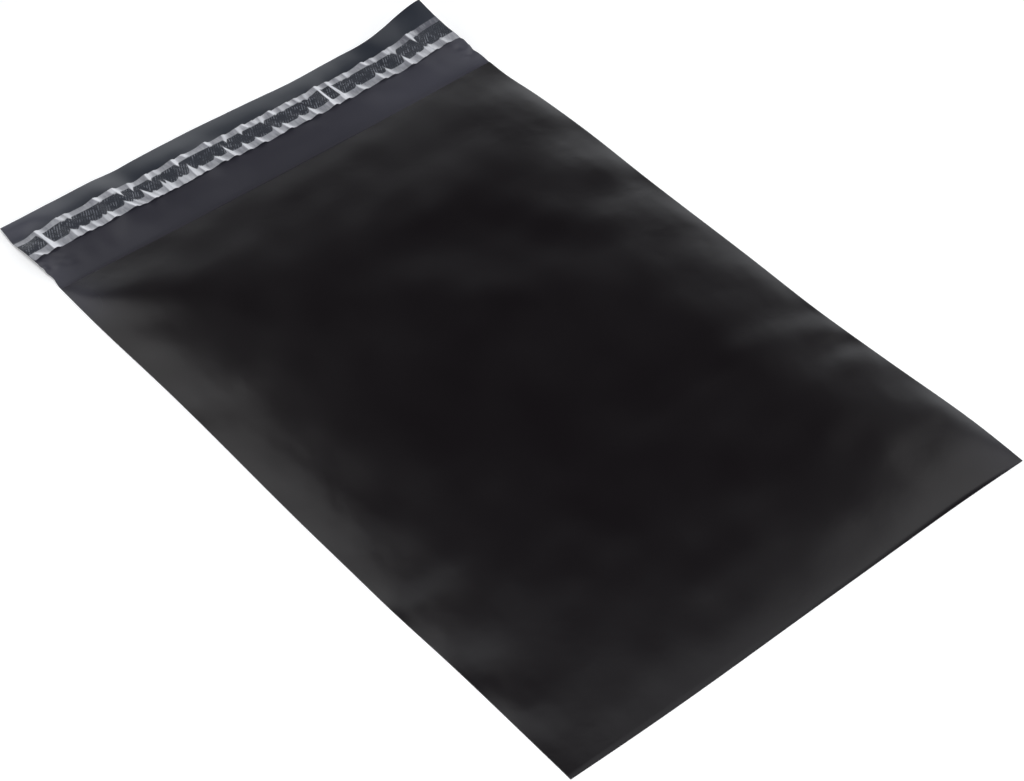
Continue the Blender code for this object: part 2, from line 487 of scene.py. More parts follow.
    def lip_setback(self, x: Array, y: Array) -> Array:
        """How far the crown draws the front panel back from the mouth, most at the middle of the lip.

        Args:
            x: places across the bag in mm.
            y: places along it in mm.

        Returns:
            Distances in mm towards the bottom fold.
        """
        from_middle = 2 * x / BAG.width - 1
        near_lip = np.clip(y / BAG.pouch_length, 0, 1) ** self.lip_bow_steepness
        return self.lip_bow * (1 - from_middle**2) * near_lip

    def front(self, x: Array, y: Array) -> Array:
        """Height of the front panel's outer face, from the welds over the crown to the lip.

        Args:
            x: places across the bag in mm.
            y: places along it in mm.

        Returns:
            Heights in mm above the floor.
        """
        side = np.minimum(x, BAG.width - x)
        up_from_fold = (rise(y, self.fold_reach) + rise(y, self.fold_tail)) / 2
        inside = rise(x, self.left_reach) * rise(BAG.width - x, self.right_reach) * up_from_fold
        behind_lip = rise(BAG.pouch_length - y, self.mouth_reach)
        height = (self.mouth_gape + (self.crown - self.mouth_gape) * behind_lip) * inside
        relief = sum(buckle.lift(x, y) for buckle in self.front_buckles) * inside
        off_weld = rise(side, self.weld_reach) * rise(y, self.weld_reach)
        relief += sum(pucker.lift(x, y) for pucker in self.weld_puckers) * off_weld
        relief += self.wide_ripple.lift(x, y) * off_weld
        near_weld = np.exp(-side / self.fine_ripple_reach)
        relief += self.fine_ripple.lift(x, y) * off_weld * (self.fine_ripple_inside + near_weld)
        off_lip = rise(BAG.pouch_length - y, self.lip_calm)
        height += relief * (self.lip_relief + (1 - self.lip_relief) * off_lip)
        return BAG.weld_height + np.maximum(height, self.least_height * off_weld)

    def back(self, x: Array, y: Array) -> Array:
        """Height of the back panel's outer face: the surface it lies on, but for shallow ripples.

        Args:
            x: places across the bag in mm.
            y: places along it in mm.

        Returns:
            Heights in mm above the floor.
        """
        side = np.minimum(x, BAG.width - x)
        off_edge = rise(side, self.weld_reach) * rise(y, self.weld_reach)
        off_edge = off_edge * rise(BAG.pouch_length - y, self.weld_reach)
        return np.maximum(self.back_ripple.lift(x, y), 0) * off_edge

    def curl_share(self, x: Array, y: Array) -> Array:
        """How much of the right corner's curl reaches a place on the flap, from 0 to 1."""
        along = np.maximum(y - BAG.pouch_length, 0) / BAG.flap_length
        return smooth_step(x, BAG.width - self.curl_reach, BAG.width) * along**self.curl_steepness

    def flap(self, x: Array, y: Array) -> Array:
        """Height of the flap's underside: slack behind the lip, drooping at its end, curled at the right.

        Args:
            x: places across the bag in mm.
            y: places along it in mm.

        Returns:
            Heights in mm above the floor.
        """
        off_lip = rise(y - BAG.pouch_length, self.flap_rise_reach) ** 2
        slack = self.flap_slack + sum(
            change * smooth_step(x, start, end) for start, end, change in self.flap_steps)
        wave = sum(ripple.lift(x, y) for ripple in self.flap_ripples)
        calm = smooth_step(y, *(BAG.liner_bottom + up for up in self.calm_up))
        wave *= 1 - self.calm_above_liner * calm
        wave += sum(buckle.lift(x, y) for buckle in self.flap_buckles)
        side = np.minimum(x, BAG.width - x)
        reach_in, reach_along = self.crinkle_reach
        wave += self.crinkle.lift(x, y) * np.exp(
            -side / reach_in - ((y - self.crinkle_at) / reach_along) ** 2)
        lift = (slack + wave) * off_lip
        from_end = np.maximum(y - BAG.total_length, -self.flap_droop_reach)
        droop = self.flap_droop * (from_end / self.flap_droop_reach + 1) ** 2
        curl_start = BAG.width - self.curl_reach
        droop *= 1 - smooth_step(x, *(curl_start + right for right in self.droop_fade))
        return np.maximum(lift - droop, 0) + self.curl * self.curl_share(x, y)

    def side_shift(self, x: Array, y: Array) -> Array:
        """How far the side edges' straying moves a place to the right.

        Args:
            x: places across the bag in mm.
            y: places along it in mm.

        Returns:
            Distances in mm.
        """
        left = sum(bulge.stray(y) for bulge in self.left_bulges) * np.exp(-x / self.edge_reach)
        right = sum(bulge.stray(y) for bulge in self.right_bulges)
        return right * np.exp((x - BAG.width) / self.edge_reach) - left

    def end_shift(self, x: Array, y: Array) -> Array:
        """How far the bottom fold's and the flap end's straying moves a place towards the flap.

        Args:
            x: places across the bag in mm.
            y: places along it in mm.

        Returns:
            Distances in mm.
        """
        fold = sum(bulge.stray(x) for bulge in self.fold_bulges) * np.exp(-y / self.edge_reach)
        end = sum(bulge.stray(x) for bulge in self.end_bulges)
        return end * np.exp((y - BAG.total_length) / self.edge_reach) - fold

    def flap_x(self, x: Array, y: Array) -> Array:
        """Where a place on the flap lies across the bag once the curl has drawn it in."""
        return x + self.side_shift(x, y) - self.curl_draw * self.curl_share(x, y)


FORM = FilmForm()


@dataclass(frozen=True)
class BlackFilmFinish:
    """Blown low-density polyethylene with carbon black: near-black, satin, faintly grained.

    The outer face gives the eye deep black with soft reflections. The inner face, which shows on the flap,
    is duller; its colour is painted lighter and cooler as its sheen, and cooler still towards the flap's
    end as a painted reflection. Pale patches of painted sheen lie on both faces in places.
    """

    colour: str = "#0f0b0e"
    # The inner face's colour is painted lighter and cooler than the black film, as its sheen; towards the
    # flap's end it is painted cooler still, as a reflection.
    inner_face_sheen_colour: str = "#2b2a32"
    flap_end_reflection_colour: str = "#1e232d"
    # the colour of the pale patches of painted sheen
    painted_sheen_colour: str = "#4b4b55"
    roughness: float = 0.22
    inner_roughness: float = 0.30
    refraction: float = 1.51
    grain_mm: float = 0.6  # the real grain is finer: this is as fine as shows
    crinkle_mm: float = 5.0
    cloud_mm: float = 40.0

    def material(self) -> bpy.types.Material:
        """Makes the film's material from its mesh's attributes: the inner face, the flap end's painted cool
        reflection, and the patches of painted sheen.

        Returns:
            The material.
        """
        material, tree, shader = new_material("black_polyethylene_film")
        place = add_node(tree, "ShaderNodeTexCoord").outputs["Object"]
        inner = add_node(tree, "ShaderNodeAttribute", {"attribute_name": "inner_face"}).outputs["Fac"]
        cloud = add_node(tree, "ShaderNodeTexNoise", inputs={
            "Vector": place, "Scale": 1 / (self.cloud_mm * MM), "Detail": 3.0})
        painted_sheen = add_node(tree, "ShaderNodeAttribute", {"attribute_name": "painted_sheen"}).outputs["Fac"]
        flap_end_reflection_tint = add_node(tree, "ShaderNodeAttribute", {"attribute_name": "flap_end_reflection_tint"}).outputs["Fac"]
        # Painted cool reflection towards the flap's end, over the inner face's painted sheen.
        colour = add_node(tree, "ShaderNodeMix", {"data_type": "RGBA"}, {
            0: flap_end_reflection_tint, 6: srgb(self.inner_face_sheen_colour), 7: srgb(self.flap_end_reflection_colour)})
        colour = add_node(tree, "ShaderNodeMix", {"data_type": "RGBA"}, {
            0: inner, 6: srgb(self.colour), 7: colour.outputs[2]})
        # Painted sheen: pale patches are mixed over the colour.
        colour = add_node(tree, "ShaderNodeMix", {"data_type": "RGBA"}, {
            0: painted_sheen, 6: colour.outputs[2], 7: srgb(self.painted_sheen_colour)})
        tree.links.new(colour.outputs[2], shader.inputs["Base Color"])
        dull = add_node(tree, "ShaderNodeMix", {"data_type": "FLOAT"}, {
            0: inner, 2: self.roughness, 3: self.inner_roughness})
        uneven = add_node(tree, "ShaderNodeMapRange", inputs={
            "Value": cloud.outputs["Fac"], "From Min": 0.3, "From Max": 0.7,
            "To Min": -0.02, "To Max": 0.02})
        roughness = add_node(tree, "ShaderNodeMath", {"operation": "ADD"}, {
            0: dull.outputs[0], 1: uneven.outputs["Result"]})
        tree.links.new(roughness.outputs[0], shader.inputs["Roughness"])
        grain = add_node(tree, "ShaderNodeTexNoise", inputs={
            "Vector": place, "Scale": 1 / (self.grain_mm * MM), "Detail": 2.0})
        crinkle = add_node(tree, "ShaderNodeTexNoise", inputs={
            "Vector": place, "Scale": 1 / (self.crinkle_mm * MM), "Detail": 4.0, "Distortion": 0.6})
        fine = add_node(tree, "ShaderNodeBump", inputs={
            "Height": grain.outputs["Fac"], "Strength": 0.3, "Distance": 0.006 * MM})
        soft = add_node(tree, "ShaderNodeBump", inputs={
            "Height": crinkle.outputs["Fac"], "Strength": 0.5, "Distance": 0.05 * MM,
            "Normal": fine.outputs[0]})
        tree.links.new(soft.outputs[0], shader.inputs["Normal"])
        shader.inputs["IOR"].default_value = self.refraction
        return material


@dataclass(frozen=True)
class PaintedSheenPatch:
    """A soft pale patch of painted sheen on the film: its middle and reach in mm, and its strongest share.
    """

    x: float
    y: float
    reach_x: float
    reach_y: float
    most: float

    def share(self, x: Array, y: Array) -> Array:
        """How much painted sheen shows at each place, from 0 to 1."""
        off_x, off_y = (x - self.x) / self.reach_x, (y - self.y) / self.reach_y
        return self.most * np.exp(-(off_x**2) - off_y**2)


@dataclass
class BagFilm:
    """The bag: one sheet of film folded at the bottom and welded up both sides to the lip."""

    columns: int = 120
    pouch_rows: int = 160
    flap_rows: int = 50
    fold_rows: int = 6
    edge_crowding: float = 0.4
    flap_end_fade: tuple[float, float] = (4.0, 14.0)
    # Pale patches of painted sheen, which raise the film's colour where it should look lit.
    front_painted_sheen: tuple[PaintedSheenPatch, ...] = (
        PaintedSheenPatch(0, 340, 20, 17, 0.45),
        PaintedSheenPatch(250, 5, 26, 22, 0.16),
    )
    flap_painted_sheen: tuple[PaintedSheenPatch, ...] = (
        PaintedSheenPatch(0, 362, 16, 16, 0.4),
        PaintedSheenPatch(8, 395, 34, 9, 0.75),
        PaintedSheenPatch(205, 358, 48, 17, 0.45),
        PaintedSheenPatch(253, 362, 18, 19, 0.5),
    )
    finish: BlackFilmFinish = field(default_factory=BlackFilmFinish)

    def across(self, share: Array) -> Array:
        """Turns a share of the blank's width into mm, with the columns closer near the welds."""
        turn = 2 * share - 1
        return (turn + self.edge_crowding * np.sin(math.pi * turn) / math.pi + 1) / 2 * BAG.width

    def build(self) -> bpy.types.Object:
        """Folds the blank, welds its sides and gives it its gauge.

        Returns:
            The bag.
        """
        rows = self.flap_rows + 2 * self.pouch_rows + self.fold_rows
        film, across, along = active_grid("mailer_film", self.columns, rows)
        row = np.round(along * rows)
        x = self.across(across)
        radius = BAG.weld_height / 2
        on_flap = row <= self.flap_rows
        back_row = row - self.flap_rows
        fold_row = back_row - self.pouch_rows
        front_row = fold_row - self.fold_rows
        flap_y = BAG.total_length - BAG.flap_length * row / self.flap_rows
        back_y = BAG.pouch_length + (radius - BAG.pouch_length) * back_row / self.pouch_rows
        front_y = radius + (BAG.pouch_length - radius) * front_row / self.pouch_rows
        turn = math.pi * np.clip(fold_row / self.fold_rows, 0, 1)
        on_back = ~on_flap & (fold_row <= 0)
        on_fold = (fold_row > 0) & (front_row < 0)
        zones = [on_flap, on_back, on_fold]
        y = np.select(zones, [flap_y, back_y, radius * (1 - np.sin(turn))], front_y)
        z = np.select(
            zones,
            [FORM.flap(x, flap_y), FORM.back(x, back_y), radius * (1 - np.cos(turn))],
            FORM.front(x, np.maximum(front_y, radius)),
        )
        on_front = ~on_flap & ~on_back & ~on_fold
        y = y - np.where(on_front, FORM.lip_setback(x, y), 0)
        x, y = (
            np.where(on_flap, FORM.flap_x(x, flap_y), x + FORM.side_shift(x, y)),
            y + FORM.end_shift(x, y))
        place_vertices(film, x, y, z)
        mark(film, "inner_face", on_flap)
        # Painted cool reflection towards the flap's end.
        fade_start, fade_end = self.flap_end_fade
        mark(film, "flap_end_reflection_tint", on_flap * smooth_step(flap_y - BAG.liner_bottom, fade_start, fade_end))
        # Painted sheen: pale patches raise the colour of the front and the flap.
        painted_sheen = np.where(
            on_flap,
            sum(patch.share(across * BAG.width, flap_y) for patch in self.flap_painted_sheen),
            on_front * sum(patch.share(across * BAG.width, front_y) for patch in self.front_painted_sheen))
        mark(film, "painted_sheen", np.minimum(painted_sheen, 1))
        self.weld_sides(film, row, across)
        give_thickness(film, BAG.gauge, -1)
        finish_piece(film, "bag_film", self.finish.material())
        return film

    def weld_sides(self, film: bpy.types.Object, row: Array, across: Array) -> None:
        """Bridges the two plies along each side, from the bottom fold to the lip.

        Args:
            film: the folded blank.
            row: each vertex's row, counted from the flap's end.
            across: each vertex's place across the blank, from 0 to 1.
        """
        fold_middle = self.flap_rows + self.pouch_rows + self.fold_rows // 2
        back = (row >= self.flap_rows) & (row < fold_middle)
        front = row >= fold_middle
        ends = np.zeros(len(film.data.edges) * 2, dtype=np.int32)
        film.data.edges.foreach_get("vertices", ends)
        ends = ends.reshape(-1, 2)
        for side in (0.0, 1.0):
            on_side = across == side
            chosen = np.zeros(len(ends), dtype=bool)
            for ply in (back & on_side, front & on_side):
                chosen |= ply[ends[:, 0]] & ply[ends[:, 1]]
            self.bridge(film, ends, chosen)
        bpy.ops.object.mode_set(mode="EDIT")
        bpy.ops.mesh.select_all(action="SELECT")
        bpy.ops.mesh.normals_make_consistent(inside=False)
        bpy.ops.object.mode_set(mode="OBJECT")
        down = min(film.data.polygons, key=lambda face: face.center.z)
        if down.normal.z > 0:
            film.data.flip_normals()

    def bridge(self, film: bpy.types.Object, ends: Array, chosen: Array) -> None:
        """Closes one weld between the chosen edges, which are the two plies' cut edges.

        Args:
            film: the folded blank.
            ends: the vertices of the blank's own edges.
            chosen: which of those edges are the weld's.
        """
        bpy.context.scene.tool_settings.mesh_select_mode = (False, True, False)
        mesh = film.data
        for part in (mesh.vertices, mesh.edges, mesh.polygons):
            part.foreach_set("select", np.zeros(len(part), dtype=bool))
        wanted = {tuple(sorted(pair)) for pair in ends[chosen].tolist()}
        for edge in mesh.edges:
            if tuple(sorted(edge.vertices)) in wanted:
                edge.select = True
        bpy.context.view_layer.objects.active = film
        bpy.ops.object.mode_set(mode="EDIT")
        bpy.ops.mesh.bridge_edge_loops()
        bpy.ops.object.mode_set(mode="OBJECT")


@dataclass(frozen=True)
class HotMeltFinish:
    """Pressure-sensitive hot melt, rolled on to the black film.

    It gives the eye a glossy dark grey band, crossed by the broken ripples that the roller leaves, with
    their glints painted on as pale lines.
    """

    WAVE_PERIOD: ClassVar[float] = 0.314  # metres between the bands of a Wave texture of scale 1
    colour: str = "#464a53"
    ripple_glint_colour: str = "#d6d9e2"
    line_spacing_mm: float = 1.2
    line_lean: float = 25.0
    dash_mm: float = 2.2
    patch_mm: float = 5.0
    roughness: float = 0.22

    def material(self) -> bpy.types.Material:
        """Makes the adhesive's material, with the short leaning ripples that run across the strip, painted
        pale as glints.

        Returns:
            The material.
        """
        material, tree, shader = new_material("hot_melt_adhesive")
        place = add_node(tree, "ShaderNodeTexCoord").outputs["Object"]
        leaning = add_node(tree, "ShaderNodeMapping", inputs={
            "Vector": place, "Rotation": (0.0, 0.0, math.radians(self.line_lean))}).outputs[0]
        lines = add_node(tree, "ShaderNodeTexWave", {"bands_direction": "X"}, {
            "Vector": leaning, "Scale": self.WAVE_PERIOD / (self.line_spacing_mm * MM), "Distortion": 2.2,
            "Detail": 2.0, "Detail Scale": 0.4})
        line = add_node(tree, "ShaderNodeMapRange", {"interpolation_type": "SMOOTHSTEP"}, {
            "Value": lines.outputs["Fac"], "From Min": 0.45, "From Max": 0.85})
        broken = add_node(tree, "ShaderNodeTexNoise", inputs={
            "Vector": leaning, "Scale": 1 / (self.dash_mm * MM), "Detail": 1.0})
        dash = add_node(tree, "ShaderNodeMapRange", {"interpolation_type": "SMOOTHSTEP"}, {
            "Value": broken.outputs["Fac"], "From Min": 0.42, "From Max": 0.58})
        patches = add_node(tree, "ShaderNodeTexNoise", inputs={
            "Vector": place, "Scale": 1 / (self.patch_mm * MM), "Detail": 2.0})
        patch = add_node(tree, "ShaderNodeMapRange", inputs={
            "Value": patches.outputs["Fac"], "From Min": 0.42, "From Max": 0.6, "To Min": 0.12})
        share = add_node(tree, "ShaderNodeMath", {"operation": "MULTIPLY"}, {
            0: line.outputs["Result"], 1: dash.outputs["Result"]})
        share = add_node(tree, "ShaderNodeMath", {"operation": "MULTIPLY"}, {
            0: share.outputs[0], 1: patch.outputs["Result"]})
        # Painted glints: the ripples are mixed towards a pale colour.
        colour = add_node(tree, "ShaderNodeMix", {"data_type": "RGBA"}, {
            0: share.outputs[0], 6: srgb(self.colour), 7: srgb(self.ripple_glint_colour)})
        tree.links.new(colour.outputs[2], shader.inputs["Base Color"])
        bump = add_node(tree, "ShaderNodeBump", inputs={
            "Height": share.outputs[0], "Strength": 0.5, "Distance": 0.04 * MM})
        tree.links.new(bump.outputs[0], shader.inputs["Normal"])
        shader.inputs["Roughness"].default_value = self.roughness
        return material


@dataclass
class AdhesiveStrip:
    """The strip of hot melt on the flap, under the liner."""

    columns: int = 300
    rows: int = 10
    end_inset: float = 1.0
    seat: float = 0.03
    edge_wander: Ripple = Ripple(0.15, 14, seed=31)
    finish: HotMeltFinish = field(default_factory=HotMeltFinish)

    def build(self) -> bpy.types.Object:
        """Lays the strip on the flap, with slightly wandering edges.

        Returns:
            The strip.
        """
        strip, across, along = active_grid("adhesive_band", self.columns, self.rows)
        x = self.end_inset + across * (BAG.width - 2 * self.end_inset)
        wander = self.edge_wander.lift(x, along * 40)
        y = BAG.liner_bottom + BAG.strip_up[0] + along * BAG.adhesive_width + wander
        z = FORM.flap(x, y) + BAG.gauge + self.seat
        place_vertices(strip, FORM.flap_x(x, y), y, z)
        give_thickness(strip, BAG.adhesive_gauge, 1)
        finish_piece(strip, "adhesive_strip", self.finish.material())
        return strip


@dataclass(frozen=True)
class LinerWrinkle:
    """A wrinkle that holds the liner off the adhesive: open at an edge, and sharp at its tip.

    edge_at and tip_at are in mm from the left weld, and tip in mm up from the liner's lower edge.
    strength is a share of the strongest wrinkle, and opening its half width in mm where it leaves the
    strip. In the methods x is in mm from the left weld, and up in mm from the liner's lower edge.
    """

    CREST_HEIGHT: ClassVar[float] = 1.3
    LOWEST_CREST: ClassVar[float] = 0.3
    CREST_BOW: ClassVar[float] = 0.8
    TIP_SPREAD: ClassVar[float] = 0.4
    ADDED_SPREAD: ClassVar[float] = 1.5
    LEFT_FLANK: ClassVar[float] = 2.0
    RIGHT_FLANK: ClassVar[float] = 0.8
    SHINE_ONSET: ClassVar[tuple[float, float]] = (-0.9, -0.3)
    SHINE_WIDTH: ClassVar[float] = 0.9
    SHADE_ONSET: ClassVar[tuple[float, float]] = (0.3, 0.9)
    SHADE_WIDTH: ClassVar[float] = 1.6
    edge: LinerEdge
    edge_at: float
    tip_at: float
    tip: float
    strength: float = 0.6
    opening: float = 3.0

    def share(self, up: Array, edge_up: float) -> Array:
        """How far a place lies from the tip towards a level of the liner: 0 behind the tip, 1 there."""
        return np.maximum((up - self.tip) / (edge_up - self.tip), 0)

    def spread(self, up: Array) -> tuple[Array, Array]:
        """The share from the tip to the liner's edge, and the crest's half width in mm."""
        share = self.share(up, 0.0 if self.edge is LinerEdge.LOWER else BAG.liner_width)
        return share, self.TIP_SPREAD + self.ADDED_SPREAD * share

    def right_of_crest(self, x: Array, share: Array) -> Array:
        """Distance in mm to the right of the crest line."""
        return x - self.tip_at - (self.edge_at - self.tip_at) * share

    def lift(self, x: Array, up: Array) -> Array:
        """Height above the flat liner.

        Args:
            x: places across the liner.
            up: places up the liner.

        Returns:
            Heights in mm.
        """
        share, spread = self.spread(up)
        offset = self.right_of_crest(x, share)
        flank = spread * np.where(offset < 0, self.LEFT_FLANK, self.RIGHT_FLANK)
        crest = self.LOWEST_CREST + (self.CREST_HEIGHT - self.LOWEST_CREST) * self.strength
        return crest * share**self.CREST_BOW * np.exp(-((offset / flank) ** 2))

    def parting(self, x: Array, up: Array) -> Array:
        """How far inside the wrinkle's opening a place lies.

        Args:
            x: places across the liner.
            up: places up the liner.

        Returns:
            Distances in mm, below 0 where the liner touches the strip.
        """
        strip_low, strip_high = BAG.strip_up
        on_lower = self.edge is LinerEdge.LOWER
        strip_edge = strip_low if on_lower else strip_high
        reach = self.tip - strip_edge if on_lower else strip_edge - self.tip
        if reach <= 0:
            return np.full_like(up, -1.0)
        share, _ = self.spread(up)
        half_width = self.opening * self.share(up, strip_edge) ** 2
        return np.where(half_width > 0, half_width - np.abs(self.right_of_crest(x, share)), -1.0)

    def shine(self, x: Array, up: Array) -> Array:
        """The painted highlight on the steep right flank: sharp at the crest and fading from it.

        Args:
            x: places across the liner.
            up: places up the liner.

        Returns:
            Shares from 0 to 1.
        """
        share, spread = self.spread(up)
        offset = self.right_of_crest(x, share)
        past_crest = np.maximum(offset, 0) / (self.SHINE_WIDTH + spread)
        streak = smooth_step(offset, *self.SHINE_ONSET) * np.exp(-(past_crest**3))
        return self.strength**0.6 * np.minimum(3 * share, 1) * streak

    def shade(self, x: Array, up: Array) -> Array:
        """The painted shade on the left flank: darkest at the crest.

        Args:
            x: places across the liner.
            up: places up the liner.

        Returns:
            Shares from 0 to 1.
        """
        share, spread = self.spread(up)
        offset = self.right_of_crest(x, share)
        before_crest = np.minimum(offset, 0) / (self.SHADE_WIDTH * spread)
        dull = smooth_step(-offset, *self.SHADE_ONSET) * np.exp(before_crest)
        return self.strength * np.minimum(share, 1) * dull


@dataclass(frozen=True)
class ClearLinerFinish:
    """Siliconised clear polyethylene film.

    It gives the eye a milky strip where it stands off, and a clear one where it has wetted out on the melt.
    """

    # The haze runs from dull, which the painted shade deepens, to a white that the painted highlights
    # reach.
    dull: str = "#5c5d65"
    haze_and_highlight_white: str = "#eaebf0"
    wetted: str = "#3c3f47"
    milky_cover: float = 0.93
    wetted_cover: float = 0.35
    roughness: float = 0.28
    streak_mm: float = 1.1

    def material(self) -> bpy.types.Material:
        """Makes the liner's material from its mesh's wetted attribute and its haze attribute, which carries
        the wrinkles' painted highlights and shade.

        Returns:
            The material.
        """
        material, tree, shader = new_material("clear_release_film")
        place = add_node(tree, "ShaderNodeTexCoord").outputs["Object"]
        wetted = add_node(tree, "ShaderNodeAttribute", {"attribute_name": "wetted"}).outputs["Fac"]
        haze_and_painted_light = add_node(tree, "ShaderNodeAttribute", {"attribute_name": "haze_and_painted_light"}).outputs["Fac"]
        drawn = add_node(tree, "ShaderNodeMapping", inputs={"Vector": place, "Scale": (1.0, 0.2, 1.0)})
        streak = add_node(tree, "ShaderNodeTexNoise", inputs={
            "Vector": drawn.outputs[0], "Scale": 1 / (self.streak_mm * MM), "Detail": 3.0})
        uneven = add_node(tree, "ShaderNodeMapRange", inputs={
            "Value": streak.outputs["Fac"], "From Min": 0.3, "From Max": 0.7,
            "To Min": -0.1, "To Max": 0.1})
        brightness = add_node(tree, "ShaderNodeMath", {"operation": "ADD", "use_clamp": True}, {
            0: uneven.outputs["Result"], 1: haze_and_painted_light})
        haze = add_node(tree, "ShaderNodeMix", {"data_type": "RGBA"}, {
            0: brightness.outputs[0], 6: srgb(self.dull), 7: srgb(self.haze_and_highlight_white)})
        colour = add_node(tree, "ShaderNodeMix", {"data_type": "RGBA"}, {
            0: wetted, 6: haze.outputs[2], 7: srgb(self.wetted)})
        tree.links.new(colour.outputs[2], shader.inputs["Base Color"])
        cover = add_node(tree, "ShaderNodeMix", {"data_type": "FLOAT"}, {
            0: wetted, 2: self.milky_cover, 3: self.wetted_cover})
        tree.links.new(cover.outputs[0], shader.inputs["Alpha"])
        bump = add_node(tree, "ShaderNodeBump", inputs={
            "Height": streak.outputs["Fac"], "Strength": 0.4, "Distance": 0.04 * MM})
        tree.links.new(bump.outputs[0], shader.inputs["Normal"])
        shader.inputs["Roughness"].default_value = self.roughness
        return material


def lower_wrinkles() -> list[LinerWrinkle]:
    """The wrinkles that open at the liner's lower edge, each from its place there to its opening.

    Returns:
        The wrinkles, from the left weld to the right.
    """
    through = 30.0
    rows = (
        (4.6, 2.4, 4.6, 1.0), (11.5, 9.8, through, 1.0, 1.5), (23.4, 22.8, 7.2, 0.5),
        (28.6, 27.3, 6.3, 0.9), (33.9, 33.1, 5.9, 0.4), (40.1, 39.8, 6.8, 0.3, 2.0),
        (43.4, 42.3, 6.9, 0.9, 2.2), (54.7, 52.0, 7.6, 1.0), (58.9, 56.3, 6.2, 0.3, 2.0),
        (65.4, 62.8, 11.3, 1.0, 2.6), (68.4, 67.3, 6.1, 0.5, 2.0), (73.7, 73.8, 10.4, 0.5, 1.6),
        (76.1, 75.6, 9.4, 0.6, 1.6), (81.9, 82.0, 6.5, 0.3), (84.9, 84.3, 6.1, 0.3, 2.0),
        (89.3, 89.6, 11.6, 0.6, 2.4), (94.1, 93.3, 6.4, 0.7, 2.0), (104.4, 102.8, 7.0, 0.9),
        (110.9, 109.6, 11.6, 0.9, 1.8), (118.9, 119.1, 7.6, 0.7, 2.0), (127.4, 126.5, 6.7, 1.0),
        (137.6, 137.2, 8.6, 0.35, 2.4), (143.2, 142.3, 7.0, 1.0, 2.2), (153.1, 152.0, 6.6, 0.4),
        (159.4, 158.6, 9.0, 0.9, 2.2), (170.2, 169.3, through, 1.0, 0.7),
        (177.6, 175.4, through, 0.9, 0.7), (187.9, 186.6, 6.5, 0.6), (199.9, 199.1, 7.6, 0.9),
        (205.9, 205.3, 8.4, 0.5, 2.0), (217.7, 217.5, 10.0, 0.8, 2.0), (225.4, 224.8, 5.7, 0.4),
        (230.4, 230.3, 6.6, 0.4, 2.0), (233.3, 232.6, 6.5, 0.6, 2.0), (241.3, 240.8, 5.4, 0.5),
    )
    return [LinerWrinkle(LinerEdge.LOWER, *row) for row in rows]


def upper_wrinkles() -> list[LinerWrinkle]:
    """The wrinkles that open at the liner's upper edge, given in the same way.

    Returns:
        The wrinkles, from the left weld to the right.
    """
    through = -12.0
    narrow = 1.5
    rows = (
        (10.6, 11.0, through, 1.0, 1.5), (21.6, 23.8, 12.6, 0.5), (25.9, 27.1, 11.0, 0.5, 1.2),
        (41.9, 43.8, 12.8, 0.9), (50.2, 51.6, 13.0, 0.5), (52.2, 54.4, 8.7, 1.0, narrow),
        (60.7, 59.8, 9.6, 0.6, narrow), (70.7, 70.6, 11.0, 0.8, narrow), (74.9, 76.3, 12.6, 0.4),
        (85.6, 86.2, 10.2, 0.9, narrow), (90.9, 92.8, 13.4, 0.6), (104.5, 105.8, 12.8, 1.0),
        (114.7, 113.1, 10.2, 0.5, narrow), (122.7, 122.6, 10.6, 0.5, narrow),
        (126.2, 128.8, 13.2, 1.0), (131.6, 133.1, 13.2, 0.4), (136.1, 135.1, 10.5, 0.5, narrow),
        (141.9, 143.8, 13.0, 1.0), (147.9, 148.1, 12.5, 0.3), (152.2, 153.8, 13.4, 0.7),
        (156.9, 158.5, 12.4, 0.5, 2.0), (162.4, 162.0, 11.9, 0.3, 2.0),
        (169.4, 169.9, through, 1.0, 0.7), (176.0, 176.9, through, 0.7, 0.7),
        (182.4, 183.4, 13.0, 0.3), (186.9, 187.6, 12.7, 0.5), (197.9, 200.3, 13.2, 1.0),
        (203.4, 204.8, 13.0, 0.4), (211.9, 213.6, 13.0, 0.4), (215.7, 216.2, 10.0, 0.3, 2.2),
        (228.2, 229.8, 8.6, 0.8, narrow), (231.4, 232.8, 13.0, 0.3),
    )
    return [LinerWrinkle(LinerEdge.UPPER, *row) for row in rows]


